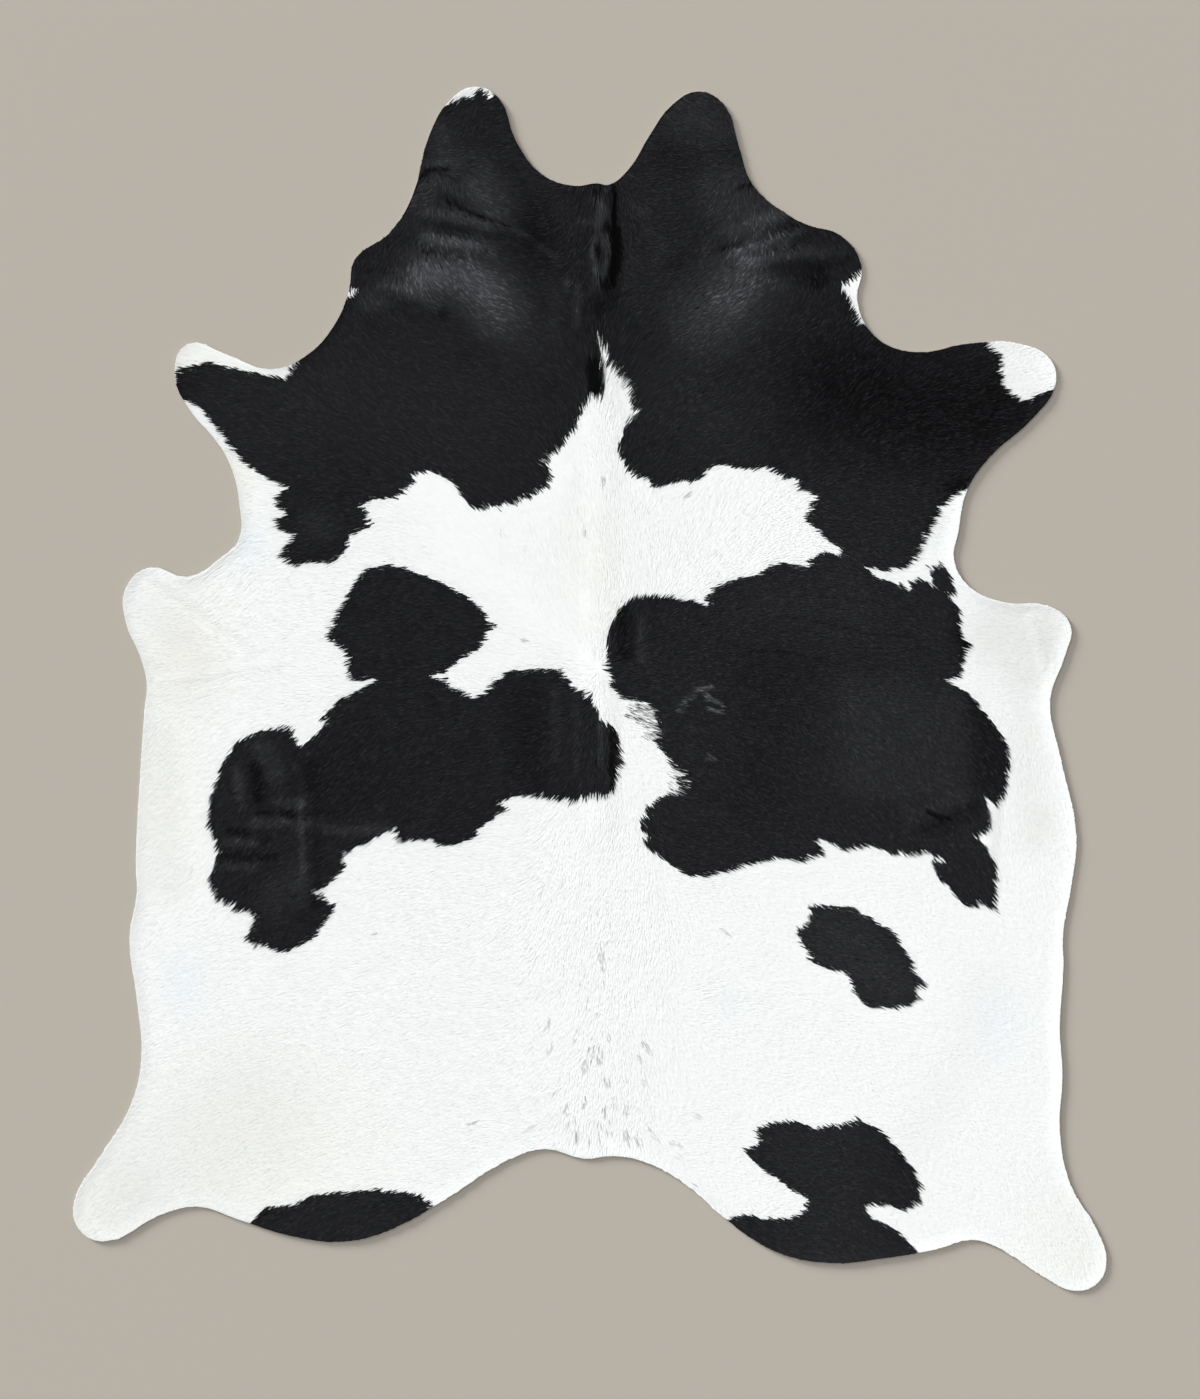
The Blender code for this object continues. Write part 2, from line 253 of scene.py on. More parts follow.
# Each black spot: rows of name of the stretch, landmarks as (x, y) in millimetres.
BLACK_SPOTS = {
    "cape": (
        ("left shoulder", ((-819, 539), (-756, 539), (-726, 522), (-711, 500), (-689, 474),
            (-668, 444), (-646, 420), (-618, 398), (-564, 373), (-592, 353), (-566, 323),
            (-590, 314), (-579, 293), (-555, 286), (-581, 245), (-551, 226), (-525, 236),
            (-488, 230), (-454, 258), (-454, 284), (-417, 299), (-417, 321), (-432, 340),
            (-410, 351), (-363, 357), (-326, 388), (-335, 401), (-290, 405))),
        ("left of the blaze", ((-257, 383), (-227, 342), (-196, 338), (-164, 344), (-128, 353),
            (-73, 388), (-78, 412), (-93, 422), (-56, 453), (-24, 496), (-11, 537), (4, 548),
            (26, 550), (30, 586))),
        ("blaze tip", ((13, 662), (35, 630), (37, 610), (54, 597), (73, 576), (86, 556),
            (78, 537), (93, 520))),
        ("right of the blaze", ((69, 496), (52, 450), (67, 422), (88, 398), (112, 394),
            (127, 375), (168, 388), (210, 392), (223, 412), (264, 418), (302, 409), (331, 411),
            (361, 396), (389, 386), (395, 371), (428, 360), (408, 317), (426, 293), (454, 271),
            (480, 245))),
        ("right shoulder", ((516, 224), (540, 219), (581, 221), (607, 237), (626, 275),
            (650, 327), (670, 351), (702, 371), (763, 407))),
        ("beyond the hide", ((996, 407), (996, 1170), (-996, 1170), (-996, 539))),
    ),
    "right side": (
        ("upper edge", ((488, 265), (466, 245), (443, 256), (413, 239), (413, 224), (359, 233),
            (335, 226), (307, 208), (272, 203), (233, 189), (223, 172), (227, 152), (194, 163),
            (149, 172), (102, 176), (67, 165))),
        ("toward the spine", ((41, 126), (32, 101), (35, 62), (39, 33), (47, -5), (74, -21),
            (112, -27), (130, -59), (127, -100), (158, -148), (181, -163), (166, -170),
            (168, -189), (127, -209), (106, -230), (115, -239), (89, -260), (114, -278),
            (97, -286), (112, -301), (145, -323), (186, -351))),
        ("lower edge", ((238, -345), (285, -331), (361, -317), (397, -321), (434, -310),
            (425, -278), (445, -288), (477, -303), (521, -292), (562, -308), (614, -314),
            (629, -306), (668, -327), (641, -323), (644, -344), (670, -375), (700, -409),
            (724, -405), (721, -398), (763, -420))),
        ("flank edge", ((756, -398), (760, -334), (743, -303), (719, -280), (743, -269),
            (747, -241), (737, -204), (758, -221), (775, -196), (780, -155), (782, -111),
            (767, -87), (726, -31), (700, -7), (663, 16), (691, 21), (695, 44), (708, 81),
            (691, 107), (693, 139), (668, 174), (683, 176), (674, 208), (657, 232), (633, 215),
            (648, 183), (616, 204), (596, 196), (603, 176), (581, 191), (544, 202), (516, 223),
            (518, 243))),
    ),
    "left saddle": (
        ("upper lobe", ((-421, 221), (-380, 230), (-348, 224), (-304, 208), (-266, 191),
            (-214, 157), (-181, 113), (-197, 101), (-205, 75), (-236, 61), (-279, 29), (-307, 23))),
        ("toward the spine", ((-274, 14), (-257, -3), (-223, -18), (-197, -12), (-182, 12),
            (-149, 33), (-108, 36), (-60, 33), (-43, 7), (-4, -20), (19, -57), (30, -72),
            (41, -66), (56, -96), (63, -135), (50, -172), (45, -198), (30, -204))),
        ("lower edge", ((0, -204), (-32, -213), (-63, -211), (-91, -202), (-143, -202),
            (-177, -215), (-158, -228), (-190, -247), (-222, -267), (-210, -275), (-266, -295),
            (-317, -282), (-358, -286), (-372, -262), (-400, -278), (-464, -312), (-460, -334),
            (-493, -370), (-518, -381), (-479, -409), (-492, -431), (-516, -463), (-570, -494))),
        ("flank", ((-609, -483), (-644, -468), (-622, -425), (-652, -418), (-696, -394),
            (-711, -360), (-691, -299), (-706, -278), (-715, -245), (-706, -195), (-689, -152),
            (-661, -103), (-624, -85), (-570, -72), (-540, -111), (-503, -79), (-488, -59),
            (-501, -57), (-477, -29), (-434, -3), (-395, 16), (-449, 14), (-454, 33), (-460, 72),
            (-492, 92), (-480, 128), (-464, 154), (-454, 174))),
    ),
    "right thigh": (
        ("whole edge", ((384, -453), (412, -492), (412, -507), (451, -526), (475, -526),
            (490, -545), (499, -576), (527, -597), (587, -595), (613, -578), (605, -561),
            (629, -556), (601, -524), (607, -513), (583, -478), (559, -450), (525, -429),
            (484, -407), (466, -407), (410, -407), (417, -418), (408, -429), (415, -439))),
    ),
    "right rump": (
        ("upper part", ((317, -848), (317, -820), (350, -807), (391, -808), (423, -822),
            (469, -815), (506, -805), (547, -824), (570, -852), (592, -880), (618, -924),
            (616, -958), (583, -971), (553, -960), (510, -965))),
        ("lower part", ((529, -988), (577, -1012), (611, -1051), (611, -1092), (428, -1116),
            (246, -1027), (257, -993), (274, -982), (304, -980), (331, -990), (369, -988),
            (402, -973), (410, -951), (365, -924), (320, -893), (289, -863))),
    ),
    "left rump": (
        ("whole edge", ((-637, -997), (-620, -982), (-611, -967), (-559, -965), (-518, -944),
            (-456, -937), (-400, -934), (-341, -943), (-315, -951), (-287, -967), (-287, -1008),
            (-466, -1064), (-611, -1036))),
    ),
}

# White places inside the black: name, landmarks as (x, y) in millimetres.
WHITE_PLACES = (
    ("left lobe cap", ((-279, 1081), (-246, 1094), (-223, 1098), (-205, 1118), (-223, 1142),
        (-298, 1114))),
    ("left lobe tuft", ((-203, 1133), (-199, 1111), (-190, 1094), (-182, 1107), (-175, 1133))),
    ("right cheek edge", ((540, 794), (501, 774), (467, 753), (484, 727), (497, 695),
        (503, 675), (540, 675))),
    ("left cheek nick", ((-473, 755), (-449, 748), (-426, 748), (-438, 738), (-456, 725),
        (-473, 725))),
    ("left foreleg strip", ((-801, 552), (-773, 560), (-767, 600), (-739, 600), (-711, 608),
        (-655, 593), (-605, 583), (-566, 578), (-559, 595), (-540, 615), (-652, 658),
        (-763, 668))),
    ("right foreleg tip", ((741, 668), (747, 640), (765, 615), (765, 593), (773, 574),
        (769, 565), (784, 548), (812, 535), (838, 548), (868, 558), (912, 574), (894, 668))),
)


def spot_ring(stretches):
    return np.array([spot for _, stretch in stretches for spot in stretch]) * MM


black_rings = {name: spot_ring(stretches) for name, stretches in BLACK_SPOTS.items()}
white_rings = {name: np.array(ring) * MM for name, ring in WHITE_PLACES}


def inside(spots, ring):
    """True for each spot that lies inside the closed ring."""
    found = np.zeros(len(spots), dtype=bool)
    for (ax, ay), (bx, by) in zip(ring, np.roll(ring, -1, axis=0)):
        if ay == by:
            continue
        crosses = (ay > spots[:, 1]) != (by > spots[:, 1])
        found ^= crosses & (spots[:, 0] < (bx - ax) * (spots[:, 1] - ay) / (by - ay) + ax)
    return found


SPOT_REACH = 0.03


def depth_in(spots, ring):
    """Distance to the ring, above zero inside it and below zero outside."""
    away = to_segments(spots, ring, SPOT_REACH, closed=True)
    return np.where(inside(spots, ring), away, -away)


def blackness(spots):
    """Depth inside the black, above zero where the coat is black."""
    depth = np.full(len(spots), -SPOT_REACH)
    for ring in black_rings.values():
        depth = np.maximum(depth, depth_in(spots, ring))
    for ring in white_rings.values():
        depth = np.minimum(depth, -depth_in(spots, ring))
    return depth


for name, ring in black_rings.items():
    print("spot", name, "area", round(ring_area(ring), 3))

# %% [markdown]
# ## The way the hair lies
# Hair on a hide grows away from a whorl in the middle of the back. In front of it the hair runs
# forward and outward, and behind it backward and down the legs. The directions are read at a few
# places on the right half, and the left half mirrors them over the spine. Anywhere else the
# direction is a mean of the nearest ones, weighted by how near they are.

# %% Directions of the coat
SPINE_X = 0.015
# Right half: (millimetres from the spine, y in millimetres, degrees from +X).
HAIR_FLOW = (
    (331, 900, 172), (218, 938, 45), (264, 910, 78), (311, 882, 92), (348, 830, 120),
    (376, 835, 130), (199, 863, 32), (236, 839, 57), (276, 802, 64), (348, 779, 92),
    (181, 779, 20), (190, 962, 3), (171, 1090, -32), (227, 1055, -60), (171, 1027, -7),
    (199, 1012, -10), (236, 975, -17), (106, 956, 3), (413, 789, 117), (460, 770, 125),
    (376, 764, 102), (432, 705, 62), (479, 677, 42), (385, 658, 25), (339, 723, 62),
    (311, 686, 22), (97, 798, -3), (78, 714, 15), (190, 742, 27), (255, 770, 48),
    (246, 714, 35), (190, 690, 18), (264, 677, 28), (115, 593, 30), (227, 608, 25),
    (97, 556, 28), (8, 910, -75), (8, 850, -70), (8, 780, -78), (4, 690, 86),
    (4, 351, 88), (4, 239, 80), (19, 154, 53), (32, 500, 70), (69, 556, 45), (97, 388, 35),
    (302, 593, 20), (190, 481, 8), (562, 314, -8), (488, 267, -25), (655, 202, -50),
    (749, 556, 10), (655, 481, 5), (823, 109, -20), (190, 90, 0), (376, 90, -8),
    (562, 72, -15), (488, -133, -42), (618, -170, -45), (190, -301, -10), (41, -133, -40),
    (488, -487, -22), (562, -673, -30), (730, -282, -55), (823, -115, -58),
    (376, -915, -18), (506, -859, -28), (562, -1027, -35), (674, -952, -40),
    (897, -1046, -55), (4, -133, -82), (4, -301, -86), (4, -487, -88), (4, -766, -88),
    (88, -692, -58), (171, -803, -18), (227, -580, -12), (106, -49, -8), (78, -3, -12),
    (152, -160, -22),
)
FLOW_SHARPNESS = 3.0        # power of the distance in the weights
FLOW_NEAREST = 1e-6         # keeps a spot right on a row from dividing by zero
CHUNK = 20000               # spots handled at once


def flow_table():
    rows = []
    for across, y, degrees in HAIR_FLOW:
        angle = math.radians(degrees)
        for side in (1.0, -1.0):
            rows.append((SPINE_X + side * across * MM, y * MM,
                         side * math.cos(angle), math.sin(angle)))
    return np.array(rows)


flow = flow_table()
print("hair directions", len(flow))


def hair_direction(spots):
    """Unit vector (x, y) in which the hair lies at each spot."""
    result = np.empty((len(spots), 2))
    for first in range(0, len(spots), CHUNK):
        part = spots[first:first + CHUNK]
        away = ((part[:, None, :] - flow[None, :, :2]) ** 2).sum(axis=2) + FLOW_NEAREST
        weights = away ** (-FLOW_SHARPNESS / 2.0)
        result[first:first + CHUNK] = weights @ flow[:, 2:]
    return result / np.linalg.norm(result, axis=1)[:, None]


# %% [markdown]
# ## Locks of hair
# One lock is a flat leaf: a root, a belly and a tip, three triangles in all. The coat could be
# made with Blender's particle hair, but hair of that kind isn't a mesh and would be lost in the
# export. So one lock is drawn with bmesh and a copy of it is laid at each root by array maths.
# The colour of a lock comes from the place of its outer half, because its root is hidden.

# %% One lock
LOCK_LENGTH = 0.017
LOCK_WIDTH = 0.0030
LOCK_SPACING = 0.0032
COAT_RISE = (0.0, 0.0011, 0.0017)        # height of root, belly and tip over the undercoat
ROOT_HALF, BELLY_HALF = 0.40, 0.50       # half widths of the pattern
BELLY_PLACE = 0.55                       # how far along the lock its belly is


def lock_pattern():
    """A lock one unit long and one unit wide, along +Y, with its root at the origin."""
    lock = bmesh.new()
    root = [lock.verts.new((side * ROOT_HALF, 0.0, 0.0)) for side in (-1, 1)]
    belly = [lock.verts.new((side * BELLY_HALF, BELLY_PLACE, 1.0)) for side in (-1, 1)]
    tip = lock.verts.new((0.0, 1.0, 2.0))
    lock.faces.new((root[0], root[1], belly[1], belly[0]))
    lock.faces.new((belly[0], belly[1], tip))
    lock.verts.index_update()
    shape = np.array([tuple(vertex.co) for vertex in lock.verts])
    loops = [[vertex.index for vertex in face.verts] for face in lock.faces]
    lock.free()
    return shape, loops


lock_shape, lock_faces = lock_pattern()
print("lock points", len(lock_shape), "faces", len(lock_faces))

# %% [markdown]
# ## Where the roots are
# Roots on a plain grid would show as rows, and free random roots leave bald gaps. A grid in which
# each root is moved a little at random gives an even coat. Smooth noise, the same for neighbours,
# gathers the locks in small tufts that turn together.

# %% Roots and their tufts
COAT_SEED = 7
rng = np.random.default_rng(COAT_SEED)


def tuft_noise(spots, cell):
    """Smooth noise from -1 to 1 that changes over about one cell."""
    low = spots.min(axis=0) - cell
    size = np.ceil((spots.max(axis=0) - low) / cell).astype(int) + 2
    grid = rng.uniform(-1.0, 1.0, size)
    place = (spots - low) / cell
    corner = np.floor(place).astype(int)
    share = place - corner
    share = share * share * (3.0 - 2.0 * share)
    column, row = corner.T
    left = grid[column, row] * (1 - share[:, 1]) + grid[column, row + 1] * share[:, 1]
    right = grid[column + 1, row] * (1 - share[:, 1]) + grid[column + 1, row + 1] * share[:, 1]
    return left * (1 - share[:, 0]) + right * share[:, 0]


def scatter_roots(spacing):
    low, high = edge.min(axis=0), edge.max(axis=0)
    columns = np.arange(low[0], high[0], spacing)
    rows = np.arange(low[1], high[1], spacing)
    grid = np.stack(np.meshgrid(columns, rows), axis=-1).reshape(-1, 2)
    grid += rng.uniform(-0.5, 0.5, grid.shape) * spacing
    return grid[inside(grid, edge)]


roots = scatter_roots(LOCK_SPACING)
count = len(roots)
print("locks", count, "triangles", count * 3)

# %% [markdown]
# ### Length and turn of each lock
# The hair is longest along the mane, at the tip of the blaze and at the tail. Everywhere, a lock
# turns and grows a little with its tuft and a little by itself, so that no two look the same.

# %% Length and turn
# Places with longer hair: name, centre as (x, y), half sizes, extra length as a share.
LONG_HAIR = (
    ("blaze tip", (0.045, 0.590), (0.100, 0.110), 0.85),
    ("mane", (0.020, 0.815), (0.034, 0.130), 0.70),
    ("tail", (-0.010, -0.835), (0.080, 0.060), 0.30),
)
LONG_FADE = 1.5             # how steeply the longer hair ends
TUFT_TURN, TUFT_CELL = 9.0, 0.030       # degrees that a big tuft turns, and its size
SMALL_TURN, SMALL_CELL = 7.0, 0.009     # the same for a small one
LOCK_TURN = 4.0             # degrees that a lock turns by itself
LENGTH_BY_TUFT, LENGTH_CELL = 0.18, 0.012
LENGTH_BY_LOCK = 0.15
WIDTH_RANGE = (0.75, 1.25)


def fade_out(away, steepness):
    """1 in the middle of a place, and 0 where away reaches 1."""
    return np.clip(steepness - steepness * away**2, 0.0, 1.0)


def shagginess(spots):
    """1 on plain coat, more where the hair grows longer."""
    factor = np.ones(len(spots))
    for _, centre, half_size, extra in LONG_HAIR:
        away = np.hypot(*((spots - centre) / half_size).T)
        factor += extra * fade_out(away, LONG_FADE)
    return factor


turn = np.radians(TUFT_TURN * tuft_noise(roots, TUFT_CELL)
                  + SMALL_TURN * tuft_noise(roots, SMALL_CELL)
                  + rng.normal(0.0, LOCK_TURN, count))
base = hair_direction(roots)
direction = np.stack([base[:, 0] * np.cos(turn) - base[:, 1] * np.sin(turn),
                      base[:, 0] * np.sin(turn) + base[:, 1] * np.cos(turn)], axis=1)
length = LOCK_LENGTH * (1.0 + LENGTH_BY_TUFT * tuft_noise(roots, LENGTH_CELL)
                        + rng.uniform(-LENGTH_BY_LOCK, LENGTH_BY_LOCK, count))
length *= shagginess(roots)
width = LOCK_WIDTH * rng.uniform(*WIDTH_RANGE, count) / shagginess(roots)
print("mean length of a lock", round(float(length.mean()), 4))

# %% [markdown]
# The edge of the rug is trimmed together with its hair, so no lock may reach past it. A lock that
# would is cut back until its tip is inside, and one with no room at all is left out.

# %% Trim the locks at the edge
TRIM_STEPS = (1.0, 0.8, 0.6, 0.45, 0.3, 0.18)
OVERHANG = 0.001            # hair that may stand out past the cut edge


def trimmed_share():
    share = np.zeros(count)
    for step in TRIM_STEPS:
        open_ones = np.flatnonzero(share == 0.0)
        reach = (length[open_ones] * step - OVERHANG)[:, None]
        tips = roots[open_ones] + direction[open_ones] * reach
        share[open_ones[inside(tips, edge)]] = step
    return share


trim = trimmed_share()
kept = trim > 0.0
roots, base, direction, width = roots[kept], base[kept], direction[kept], width[kept]
length = (length * trim)[kept]
count = len(roots)
print("locks after the trim", count)

# %% [markdown]
# ## Colour of each lock
# A lock is black or white by the place of its outer part. At a spot's edge the tufts push that
# place forward or back along the hair, which gives the fine jagged edge that the real coat has
# where the hair runs across it, and a clean edge where it runs along.

# %% Black or white
SEEN_SHARE = 0.72           # the part of a lock that shows, from its root
JAG = (0.0045, 0.0035)      # push by a tuft and by a single lock
JAG_CELL = 0.007
WANDER = (0.0022, 0.0010)   # how far a spot's edge wanders, by tuft and by single lock
WANDER_CELL = 0.009
FINE_EDGE = 0.010           # locks this near to the edge of a spot are finer
FINE_WIDTH = 0.6            # by this much

push = (JAG[0] * tuft_noise(roots, JAG_CELL) + JAG[1] * rng.uniform(-1.0, 1.0, count))
push *= shagginess(roots)
seen = roots + direction * (length * SEEN_SHARE + push)[:, None]
depth = (blackness(seen) + WANDER[0] * tuft_noise(seen, WANDER_CELL)
         + WANDER[1] * rng.normal(0.0, 1.0, count))
dark = (depth > 0.0).astype(float)
width[np.abs(depth) < FINE_EDGE] *= FINE_WIDTH
print("share of black locks", round(float(dark.mean()), 3))

# %% [markdown]
# Hair of both colours grows together in a few places: a grey roan patch and a paler corner beside
# the right spot, a fine speckle down the spine, and flecks that fan out over the rump and the
# tail. A mixed place is a share of its locks turned grey. A fleck is a short streak along the
# hair, because the few dark hairs in it lie side by side.

# %% Mixed hair
# Name, centre as (x, y), half sizes, share of locks that change, and their blackness.
MIXED_HAIR = (
    ("roan patch", (0.100, -0.048), (0.032, 0.022), 0.60, 0.60),
    ("roan foot", (0.118, -0.080), (0.020, 0.026), 0.55, 0.55),
    ("inner corner", (0.168, -0.172), (0.026, 0.034), 0.38, 0.55),
    ("spine speckle", (0.010, -0.640), (0.040, 0.230), 0.012, 0.30),
    ("tail speckle", (0.020, -0.830), (0.080, 0.045), 0.020, 0.30),
)
# Grey flecks in the white: x, y and radius in millimetres, blackness.
FLECKS = (
    (-54, -360, 6, 0.14), (-93, -383, 6, 0.14), (0, -370, 6, 0.18), (0, -409, 5, 0.18),
    (32, -403, 5, 0.14), (35, -444, 6, 0.14), (20, -492, 12, 0.25), (26, -515, 10, 0.22),
    (-7, -532, 6, 0.14), (-6, -584, 6, 0.18), (-78, -625, 8, 0.22), (-74, -671, 8, 0.22),
    (-26, -647, 6, 0.18), (35, -653, 8, 0.22), (0, -684, 12, 0.29), (19, -688, 10, 0.29),
    (-11, -707, 10, 0.25), (106, -671, 9, 0.29), (97, -694, 9, 0.25), (32, -733, 9, 0.32),
    (106, -738, 9, 0.25), (71, -735, 6, 0.14), (-11, -776, 9, 0.36), (-43, -785, 9, 0.22),
    (26, -787, 8, 0.36), (45, -770, 9, 0.22), (67, -787, 9, 0.25), (-114, -822, 9, 0.14),
    (-67, -759, 8, 0.18), (-28, -837, 10, 0.36), (67, -837, 10, 0.25), (91, -844, 10, 0.25),
    (119, -833, 8, 0.22), (160, -848, 8, 0.18), (166, -872, 6, 0.18), (201, -796, 6, 0.14),
    (-58, -729, 6, 0.14), (24, 388, 8, 0.29), (-9, 295, 8, 0.25), (182, 360, 8, 0.25),
    (-164, 291, 8, 0.25), (-121, 88, 8, 0.25), (255, -453, 8, 0.25), (196, -928, 5, 0.36),
    (-404, -459, 5, 0.29), (-223, -811, 6, 0.22),
)
FLECK_SHARE = 0.45          # part of the locks in a fleck that are grey
FLECK_SHAPE = (1.5, 0.7)    # its length along the hair and its width, in radii
FLECK_WIDTH = 0.6           # how much narrower they are
SPREAD = (0.4, 1.7)         # how much lighter or darker one grey lock is than the next
MIXED_FADE = 1.6            # how steeply a mixed place ends
QUARTER_TURN = np.array([[0.0, -1.0], [1.0, 0.0]])


def turn_grey(chosen, grey):
    """Give the chosen locks a blackness near grey, and make them finer."""
    dark[chosen] = np.clip(grey * spread[chosen], 0.0, 1.0)
    width[chosen] *= FLECK_WIDTH


spread = rng.uniform(*SPREAD, count)
for _, centre, half_size, share, grey in MIXED_HAIR:
    away = np.hypot(*((seen - centre) / half_size).T)
    turn_grey(rng.uniform(0.0, 1.0, count) < share * fade_out(away, MIXED_FADE), grey)
for x, y, radius, grey in FLECKS:
    offset = (seen - np.array((x, y)) * MM) / (radius * MM)
    along = (offset * direction).sum(axis=1) / FLECK_SHAPE[0]
    across = (offset @ QUARTER_TURN * direction).sum(axis=1) / FLECK_SHAPE[1]
    turn_grey((np.hypot(along, across) < 1.0)
              & (rng.uniform(0.0, 1.0, count) < FLECK_SHARE), grey)
print("grey locks", int(((dark > 0.0) & (dark < 1.0)).sum()))
